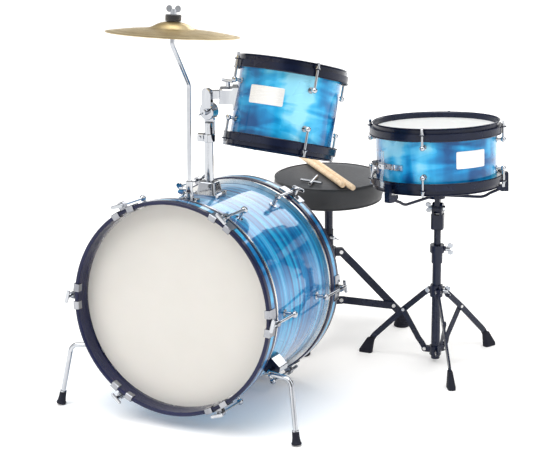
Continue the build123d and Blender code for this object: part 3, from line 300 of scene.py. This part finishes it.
def strap_look(name):
    """Clear plastic strap, faintly drawn along its length."""
    look = Look(name, Transmission_Weight=0.82, IOR=1.46)
    local = look.local()
    drawn = look.noise(look.stretched(local, (160, 160, 12)), 1.0, 2.0)
    look.into("Base Color", look.ramp(drawn, [(0.3, (0.80, 0.88, 0.95)), (0.7, (0.93, 0.96, 0.98))]))
    look.into("Roughness", look.span(drawn, 0.12, 0.3))
    look.bump(drawn, 0.1, 0.0003)
    return look.material


def felt_look(name):
    look = Look(name, Roughness=0.95, Sheen_Weight=0.5, Sheen_Roughness=0.5)
    local = look.local()
    fibres = look.noise(look.stretched(local, (1, 1, 2.2)), 900.0, 4.0, 0.75, 1.5)
    look.into("Base Color", look.ramp(fibres, [(0.3, (0.006, 0.006, 0.009)), (0.7, (0.030, 0.031, 0.038))]))
    look.bump(fibres, 0.8, 0.0008)
    return look.material


def vinyl_look(name):
    """Grained upholstery vinyl with pebbles about a millimetre across."""
    look = Look(name, Sheen_Weight=0.12, Sheen_Roughness=0.4)
    local = look.local()
    pebbles = look.cells(local, 780.0)
    creases = look.noise(local, 190.0, 3.0, 0.6, 0.7)
    cloud = look.noise(local, 11.0, 3.0)
    look.into("Base Color", look.ramp(cloud, [(0.3, (0.019, 0.021, 0.025)), (0.7, (0.034, 0.036, 0.041))]))
    height = look.math("ADD", look.math("MULTIPLY", pebbles, 0.7), look.math("MULTIPLY", creases, 0.3))
    look.into("Roughness", look.span(height, 0.38, 0.56, 0.1, 0.7))
    look.bump(height, 0.4, 0.0006)
    return look.material


def maple_look(name, place):
    """Sanded maple with its grain along the stick."""
    look = Look(name, Coat_Weight=0.12, Coat_Roughness=0.3)
    local = look.local(place)
    grain = look.noise(look.stretched(local, (190, 190, 7)), 1.0, 4.0, 0.6, 0.5)
    pores = look.noise(look.stretched(local, (1100, 1100, 42)), 1.0, 2.0, 0.6)
    look.into("Base Color", look.ramp(grain, [
        (0.30, (0.62, 0.42, 0.25)),
        (0.50, (0.77, 0.58, 0.38)),
        (0.70, (0.86, 0.70, 0.50)),
    ]))
    look.into("Roughness", look.span(pores, 0.42, 0.6))
    look.bump(pores, 0.15, 0.0003)
    return look.material


def badge_look(name, dark, light, metallic):
    """A blank plate, brushed along its length."""
    look = Look(name, Metallic=metallic, Coat_Weight=0.4, Coat_Roughness=0.1)
    local = look.local()
    brushed = look.noise(look.stretched(local, (60, 60, 2600)), 1.0, 3.0, 0.6)
    look.into("Base Color", look.ramp(brushed, [(0.3, dark), (0.7, light)]))
    look.into("Roughness", look.span(brushed, 0.16, 0.3))
    look.bump(brushed, 0.06, 0.0002)
    return look.material


# ---------------------------------------------------------------- finishes on the CAD nodes
chrome = metal_look("chrome", (0.42, 0.44, 0.48), (0.57, 0.59, 0.62), 0.03, 0.10)
# A darker copy of the chrome for the bass claws: painted shade standing in for the shading of their curved faces.
shaded_claw_chrome = metal_look("painted_shade_claw_chrome", (0.24, 0.25, 0.28), (0.40, 0.41, 0.44), 0.08, 0.20, 0.08)
steel = metal_look("rivet_steel", (0.50, 0.50, 0.52), (0.72, 0.71, 0.70), 0.18, 0.34, 0.06)
aluminium = metal_look("hoop_ring", (0.66, 0.65, 0.63), (0.84, 0.83, 0.80), 0.16, 0.30, 0.05)
enamel = enamel_look("black_enamel")
rubber = rubber_look("black_rubber")
bass_lacquer = lacquer_look("hoop_lacquer", bass_frame)

# Base colours of the pearl, from the dark between the bands to their streaks, with painted shade and painted
# reflection mixed into them.
DEEP_BLUE_WITH_PAINTED_SHADE_AND_REFLECTION = [
    (0.38, (0.001, 0.080, 0.25)),
    (0.45, (0.003, 0.160, 0.41)),
    (0.50, (0.008, 0.235, 0.53)),
    (0.53, (0.020, 0.440, 0.74)),
    (0.55, (0.010, 0.270, 0.57)),
    (0.585, (0.130, 0.460, 0.78)),
    (0.62, (0.030, 0.350, 0.65)),
]
LIGHT_BLUE_WITH_PAINTED_SHADE_AND_REFLECTION = [
    (0.40, (0.001, 0.080, 0.26)),
    (0.46, (0.004, 0.220, 0.52)),
    (0.50, (0.015, 0.380, 0.74)),
    (0.54, (0.080, 0.540, 0.86)),
    (0.59, (0.300, 0.740, 0.95)),
]
# The bands of each wrap are partly painted reflection and painted shade.
bass_wrap = wrap_look("bass_wrap", bass_frame, (1.1, 1.1, 52), (4, 4, 12), 0.16, DEEP_BLUE_WITH_PAINTED_SHADE_AND_REFLECTION)
inlay_wrap = wrap_look("inlay_wrap", bass_frame, (5, 5, 30), (9, 9, 16), 0.5, DEEP_BLUE_WITH_PAINTED_SHADE_AND_REFLECTION)
tom_wrap = wrap_look("tom_wrap", tom_frame, (15, 15, 4), (8, 8, 26), 0.38, LIGHT_BLUE_WITH_PAINTED_SHADE_AND_REFLECTION)
snare_wrap = wrap_look("snare_wrap", snare_frame, (15, 15, 4), (8, 8, 26), 0.38, LIGHT_BLUE_WITH_PAINTED_SHADE_AND_REFLECTION)
bass_film = film_look("bass_head_film", bass_frame, 0.203, (0.665, 0.63, 0.59), (0.69, 0.655, 0.615))
tom_film = film_look("tom_head_film", tom_frame, TOM_RADIUS, (0.60, 0.60, 0.59), (0.66, 0.66, 0.65))
snare_film = film_look("snare_head_film", snare_frame, SNARE_RADIUS, (0.60, 0.60, 0.59), (0.66, 0.66, 0.65))

looks = {
    "blue_wrap": bass_wrap,
    "hoop_lacquer": bass_lacquer,
    "hoop_inlay": inlay_wrap,
    "drum_head": bass_film,
    "chrome": chrome,
    "black_metal": enamel,
    "black_rubber": rubber,
    "clear_strap": strap_look("clear_strap"),
    "brass": brass_look("cymbal_brass", cymbal_frame),
    "felt": felt_look("felt"),
    "seat_vinyl": vinyl_look("seat_vinyl"),
    "stick_maple": maple_look("stick_maple", None),
}
# Nodes whose look differs from their slot's.
own = {
    "tom_shell": tom_wrap,
    "snare_shell": snare_wrap,
    "tom_heads": tom_film,
    "snare_heads": snare_film,
    # The bass claws get the darker chrome, which is painted shade.
    "bass_claws": shaded_claw_chrome,
}
for part in frame["record"]["subparts"]:
    name = part["node"]
    finish = own.get(name, looks[part["material_slot"]])
    for slot in nodes[name].material_slots:
        slot.material = finish


def paint(node, finish, test):
    """Give those polygons of a CAD node that pass the test another finish."""
    mesh = nodes[node].data
    mesh.materials.append(finish)
    index = len(mesh.materials) - 1
    for polygon in mesh.polygons:
        if test(polygon.center, polygon.normal):
            polygon.material_index = index


def outside(place, radius):
    """A test for polygons further than a radius from a frame's axis."""
    back = place.inverted()
    return lambda centre, normal: (back @ centre).xy.length > radius


paint("spur_left_leg", rubber, lambda centre, normal: centre.z < SPUR_FOOT)
paint("spur_right_leg", rubber, lambda centre, normal: centre.z < SPUR_FOOT)
for number in "123":
    paint(f"stand_leg_{number}", rubber, lambda centre, normal: centre.z < STAND_BOOT)
    paint(f"throne_leg_{number}", rubber, lambda centre, normal: centre.z < THRONE_FOOT)


def beside(point, axis, reach, clear):
    """A test for the heads of a rivet: near its axis and clear of the strips it joins."""
    def test(centre, normal):
        away = centre - point
        along = away.dot(axis)
        return abs(along) > clear and (away - axis * along).length < reach
    return test


# Rivets of both tripods: the shared pin out and up from the leg's hip, then how far each head stands out.
tripods = (
    ("stand", "stand_leg_collar", "stand_base_tube", 0.0565, -0.0520, 0.0042,
     (0.00205, 0.00545, 0.00475, 0.00415)),
    ("throne", "throne_base_tube", "throne_brace_collar", 0.1217, -0.1359, 0.0051,
     (0.00775, 0.00155, 0.00545, 0.00465)),
)
for tripod, hip_node, heel_node, out, up, reach, clears in tripods:
    for number in "123":
        hip = joints[f"{tripod}_leg_fold_{number}"]
        heel = joints[f"{tripod}_brace_fold_{number}"]
        axis = Vector(hip["axis"])
        outward = Vector((0, 0, 1)).cross(axis)
        shared = Vector(hip["pos_m"]) + outward * out + Vector((0, 0, up))
        paint(f"{tripod}_leg_{number}", steel, beside(shared, axis, reach, clears[0]))
        paint(f"{tripod}_brace_{number}", steel, beside(shared, axis, reach, clears[1]))
        paint(hip_node, steel, beside(Vector(hip["pos_m"]), axis, reach, clears[2]))
        paint(heel_node, steel, beside(Vector(heel["pos_m"]), axis, reach, clears[3]))

# Bright wing bolts on the black stand, and the black front block of each spur bracket.
stand_centre = Vector(joints["basket_tilt"]["pos_m"])
knuckle_axis = Vector(joints["basket_tilt"]["axis"])
paint("stand_upper_tube", chrome, beside(stand_centre, knuckle_axis, 0.0155, 0.0114))
collar_bolt = stand_centre - Vector((0, 0, 0.184))
paint("stand_leg_collar", chrome, beside(collar_bolt, Vector((1, 0, 0)), 0.016, 0.0162))
bass_front = bass_frame.to_3x3() @ Vector((0, 0, 1))
paint("spur_brackets", enamel, lambda centre, normal: normal.dot(bass_front) > 0.9)

paint("bass_heads", aluminium, outside(bass_frame, 0.2041))
paint("tom_heads", aluminium, outside(tom_frame, 0.1027))
paint("snare_heads", aluminium, outside(snare_frame, 0.1281))

# ---------------------------------------------------------------- badges
def shown(name, mesh, finish, body):
    """Link a piece, give it its finish and ride it on a body."""
    piece = bpy.data.objects.new(name, mesh)
    bpy.context.scene.collection.objects.link(piece)
    mesh.materials.clear()
    mesh.materials.append(finish)
    for polygon in mesh.polygons:
        polygon.use_smooth = True
    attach(piece, body)
    return piece


def badge(name, place, radius, extent, finish, body):
    """A thin plate with rounded corners, bent round a drum shell."""
    first, last, low, high = extent
    across, up = BADGE_GRID
    half = (math.radians(last - first) * radius / 2, (high - low) / 2)
    outline = bmesh.new()
    grid = []
    for row in range(up + 1):
        for column in range(across + 1):
            point = [(2 * column / across - 1) * half[0], (2 * row / up - 1) * half[1]]
            over = [abs(point[k]) - (half[k] - BADGE_CORNER) for k in (0, 1)]
            if min(over) > 0:
                pull = max(over) / math.hypot(*over)
                point = [
                    math.copysign(half[k] - BADGE_CORNER + over[k] * pull, point[k]) for k in (0, 1)
                ]
            angle = math.radians((first + last) / 2) + point[0] / radius
            height = (low + high) / 2 + point[1]
            at = place @ Vector((radius * math.cos(angle), radius * math.sin(angle), height))
            grid.append(outline.verts.new(at))
    for row in range(up):
        for column in range(across):
            start = row * (across + 1) + column
            after = start + across + 1
            outline.faces.new((grid[start], grid[start + 1], grid[after + 1], grid[after]))
    bmesh.ops.recalc_face_normals(outline, faces=outline.faces)
    mesh = bpy.data.meshes.new(name)
    outline.to_mesh(mesh)
    outline.free()
    piece = shown(name, mesh, finish, body)
    plate = piece.modifiers.new("thickness", "SOLIDIFY")
    plate.thickness = BADGE_THICK
    plate.offset = 0
    edge = piece.modifiers.new("edge", "BEVEL")
    edge.width = 0.0002
    edge.segments = 2
    edge.limit_method = "ANGLE"


badge_metal = badge_look("badge_metal", (0.88, 0.88, 0.87), (0.94, 0.94, 0.93), 0.25)
badge("tom_badge", tom_frame, TOM_RADIUS + BADGE_LIFT, TOM_BADGE, badge_metal, "tom")
badge("snare_badge", snare_frame, SNARE_RADIUS + BADGE_LIFT, SNARE_BADGE, badge_metal, "snare")


# ---------------------------------------------------------------- throne seat
seat_low, seat_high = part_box("seat_cushion")
seat_centre = (seat_low + seat_high) / 2
seat_reach = (seat_high.x - seat_low.x) / 2
SEAT_SIDES = 132
SEAT_PROFILE = [
    (0.104, 0.0004), (0.112, 0.0008), (0.1175, 0.0028), (0.1195, 0.0062), (0.1215, 0.012), (0.1223, 0.018),
    (0.1225, 0.024), (0.1225, 0.030), (0.1223, 0.036), (0.1220, 0.0415), (0.1216, 0.0465), (0.1196, 0.0500),
    (0.1165, 0.0514), (0.112, 0.0521),
]
TOP_RINGS = 20
RIM_ROWS = (2, 11)
FLAT_REACH = 0.104
FLAT_LOW = 0.0004
TOP_REACH = 0.112
TOP_HIGH = 0.0523
CLOTH_STEPS = 20
MOST_SWELL = 0.006
SEAT_SKIN = 0.0002


def seat_mesh():
    """The pad before it is stuffed: a drum with two sewn rims, and which points are on them."""
    pad = bmesh.new()
    profile = [(FLAT_REACH * step / TOP_RINGS, FLAT_LOW) for step in range(1, TOP_RINGS)]
    profile += SEAT_PROFILE
    profile += [(TOP_REACH * (1 - step / TOP_RINGS), TOP_HIGH) for step in range(1, TOP_RINGS)]
    rows = []
    for out, height in profile:
        row = []
        for side in range(SEAT_SIDES):
            turn = 2 * math.pi * side / SEAT_SIDES
            point = seat_centre + Vector((out * math.cos(turn), out * math.sin(turn), 0))
            point.z = seat_low.z + height
            row.append(pad.verts.new(point))
        rows.append(row)
    for lower, upper in zip(rows, rows[1:]):
        for side in range(SEAT_SIDES):
            after = (side + 1) % SEAT_SIDES
            pad.faces.new((lower[side], lower[after], upper[after], upper[side]))
    for row, height in ((rows[0], FLAT_LOW), (rows[-1], TOP_HIGH)):
        hub = pad.verts.new((seat_centre.x, seat_centre.y, seat_low.z + height))
        for side in range(SEAT_SIDES):
            pad.faces.new((hub, row[side], row[(side + 1) % SEAT_SIDES]))
    bmesh.ops.recalc_face_normals(pad, faces=pad.faces)
    pad.verts.index_update()
    sewn = [vert.index for number in RIM_ROWS for vert in rows[TOP_RINGS - 1 + number]]
    mesh = bpy.data.meshes.new("seat_pad")
    pad.to_mesh(mesh)
    pad.free()
    return mesh, sewn


def stuff(piece, sewn):
    """Blow the pad up as cloth, held at its sewn rims, and return its settled points."""
    held = piece.vertex_groups.new(name="sewn")
    held.add(sewn, 1.0, "REPLACE")
    cloth = piece.modifiers.new("cloth", "CLOTH")
    cloth.settings.quality = 6
    cloth.settings.mass = 0.25
    cloth.settings.tension_stiffness = 12
    cloth.settings.compression_stiffness = 6
    cloth.settings.bending_stiffness = 0.4
    cloth.settings.use_pressure = True
    cloth.settings.uniform_pressure_force = 4
    cloth.settings.vertex_group_mass = "sewn"
    cloth.settings.effector_weights.gravity = 0
    cloth.point_cache.frame_start = 1
    cloth.point_cache.frame_end = CLOTH_STEPS
    for step in range(1, CLOTH_STEPS + 1):
        bpy.context.scene.frame_set(step)
    settled = piece.evaluated_get(bpy.context.evaluated_depsgraph_get())
    points = [vert.co.copy() for vert in settled.data.vertices]
    piece.modifiers.remove(cloth)
    piece.vertex_groups.clear()
    bpy.context.scene.frame_set(1)
    return points


pad_mesh, sewn_points = seat_mesh()
seat_pad = shown("seat_pad", pad_mesh, looks["seat_vinyl"], "seat")
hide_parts("seat_cushion")
for vert, settled in zip(pad_mesh.vertices, stuff(seat_pad, sewn_points)):
    moved = settled - vert.co
    if moved.length > MOST_SWELL:
        moved *= MOST_SWELL / moved.length
    vert.co += moved
for vert in pad_mesh.vertices:
    away = (vert.co - seat_centre).xy
    shrink = min(1, (seat_reach - SEAT_SKIN) / max(away.length, 0.001))
    vert.co.x = seat_centre.x + away.x * shrink
    vert.co.y = seat_centre.y + away.y * shrink
    vert.co.z = max(seat_low.z + SEAT_SKIN, min(seat_high.z - SEAT_SKIN, vert.co.z))
softer = seat_pad.modifiers.new("softer", "SUBSURF")
softer.levels = 1
softer.render_levels = 1


def piping(name, out, height, thick):
    """A sewn cord round the seat, a little uneven."""
    ring = bmesh.new()
    sides, turns = 8, 264
    rows = []
    for step in range(turns):
        turn = 2 * math.pi * step / turns
        waver = 0.00025 * noise.noise(Vector((9 * math.cos(turn), 9 * math.sin(turn), height * 100)))
        row = []
        for side in range(sides):
            lean = 2 * math.pi * side / sides
            reach = out + waver + thick * math.cos(lean)
            row.append(ring.verts.new((
                seat_centre.x + reach * math.cos(turn),
                seat_centre.y + reach * math.sin(turn),
                seat_low.z + height + waver + thick * math.sin(lean),
            )))
        rows.append(row)
    for step in range(turns):
        here, there = rows[step], rows[(step + 1) % turns]
        for side in range(sides):
            after = (side + 1) % sides
            ring.faces.new((here[side], there[side], there[after], here[after]))
    bmesh.ops.recalc_face_normals(ring, faces=ring.faces)
    mesh = bpy.data.meshes.new(name)
    ring.to_mesh(mesh)
    ring.free()
    return shown(name, mesh, looks["seat_vinyl"], "seat")


piping("seat_piping_top", 0.1205, 0.0505, 0.0014)
piping("seat_piping_bottom", 0.1185, 0.0032, 0.0012)

# ---------------------------------------------------------------- floor, lights and camera
# Brightness of the cards round the studio, by the share of a turn from azimuth -180.
CARDS = [
    (0.00, 0.55), (0.08, 1.0), (0.24, 1.0), (0.27, 0.10), (0.36, 0.10), (0.39, 0.95), (0.53, 0.95),
    (0.56, 0.08), (0.70, 0.08), (0.73, 0.35), (0.86, 0.35), (0.90, 0.15), (1.00, 0.55),
]
FLOOR_HALF = 30
floor_mesh = bpy.data.meshes.new("floor")
corners = [(-FLOOR_HALF, -FLOOR_HALF, 0), (FLOOR_HALF, -FLOOR_HALF, 0),
           (FLOOR_HALF, FLOOR_HALF, 0), (-FLOOR_HALF, FLOOR_HALF, 0)]
floor_mesh.from_pydata(corners, [], [(0, 1, 2, 3)])
floor = bpy.data.objects.new("floor", floor_mesh)
floor.location.z = cad_low.z
bpy.context.scene.collection.objects.link(floor)
floor_look = Look("floor", Roughness=0.7, Specular_IOR_Level=0.2, Emission_Strength=0.15)
floor_cloud = floor_look.noise(floor_look.local(), 0.6, 2.0)
floor_tones = [(0.3, (0.91, 0.90, 0.885)), (0.7, (0.93, 0.92, 0.905))]
floor_look.into("Base Color", floor_look.ramp(floor_cloud, floor_tones))
floor_mesh.materials.append(floor_look.material)

world = bpy.data.worlds.new("studio")
world.use_nodes = True
bpy.context.scene.world = world
sky = world.node_tree
direction = sky.nodes.new("ShaderNodeTexCoord").outputs["Generated"]


def sky_ramp(value, stops):
    """A grey ramp over one measure of the direction looked in."""
    made = sky.nodes.new("ShaderNodeValToRGB")
    sky.links.new(value, made.inputs["Fac"])
    while len(made.color_ramp.elements) < len(stops):
        made.color_ramp.elements.new(0.5)
    for element, (position, grey) in zip(made.color_ramp.elements, stops):
        element.position = position
        element.color = (grey, grey, grey, 1)
    return made.outputs["Color"]


def sky_mix(blend, factor, first, second):
    made = sky.nodes.new("ShaderNodeMix")
    made.data_type = "RGBA"
    made.blend_type = blend
    for socket, value in ((0, factor), (6, first), (7, second)):
        if isinstance(value, bpy.types.NodeSocket):
            sky.links.new(value, made.inputs[socket])
        else:
            made.inputs[socket].default_value = value
    return made.outputs[2]


# A pale ceiling over a ring of white and dark cards, with pale haze on the horizon.
split = sky.nodes.new("ShaderNodeSeparateXYZ")
sky.links.new(direction, split.inputs["Vector"])
around = sky.nodes.new("ShaderNodeTexGradient")
around.gradient_type = "RADIAL"
sky.links.new(direction, around.inputs["Vector"])
cards = sky_ramp(around.outputs["Fac"], CARDS)
ceiling = sky_ramp(split.outputs["Z"], [(0.58, 0.0), (0.78, 1.0)])
haze = sky_ramp(split.outputs["Z"], [(0.05, 1.0), (0.11, 0.0)])
walls = sky_mix("MIX", haze, cards, (0.9, 0.9, 0.9, 1))
studio_light = sky_mix("MIX", ceiling, walls, (1, 1, 1, 1))
sky.links.new(studio_light, sky.nodes["Background"].inputs["Color"])
sky.nodes["Background"].inputs["Strength"].default_value = 0.95

target = (cad_low + cad_high) / 2


def softbox(name, azimuth, elevation, distance, width, height, power):
    light = bpy.data.lights.new(name, "AREA")
    light.shape = "RECTANGLE"
    light.size = width
    light.size_y = height
    light.energy = power
    holder = bpy.data.objects.new(name, light)
    bpy.context.scene.collection.objects.link(holder)
    away = toward(azimuth, 90 - elevation)
    holder.location = target + away * distance
    holder.rotation_euler = (-away).to_track_quat("-Z", "Y").to_euler()


softbox("key", -128, 42, 4.2, 2.4, 2.0, 26)
softbox("side", -8, 34, 3.2, 0.7, 2.2, 16)
softbox("top", 80, 84, 4.0, 3.0, 3.0, 42)
softbox("back", 88, 25, 3.2, 2.6, 0.9, 20)

sun = bpy.data.lights.new("sun", "SUN")
sun.energy = 1.5
sun.angle = math.radians(55)
sun_holder = bpy.data.objects.new("sun", sun)
bpy.context.scene.collection.objects.link(sun_holder)
sun_holder.rotation_euler = (-toward(-112, 25)).to_track_quat("-Z", "Y").to_euler()

camera = bpy.data.objects.new("camera", bpy.data.cameras.new("camera"))
bpy.context.scene.collection.objects.link(camera)
bpy.context.scene.camera = camera
camera.data.sensor_fit = "HORIZONTAL"
camera.data.sensor_width = 36
camera.data.lens = 112.70
camera.data.clip_end = 100
camera_axes = Matrix((
    (0.90678, 0.42143, -0.01187),
    (-0.10896, 0.26146, 0.95905),
    (0.40728, -0.86835, 0.28300),
))
camera.rotation_euler = camera_axes.transposed().to_euler()
camera.location = (1.36073, -3.06172, 1.30970)
bpy.context.scene.view_settings.view_transform = "Standard"
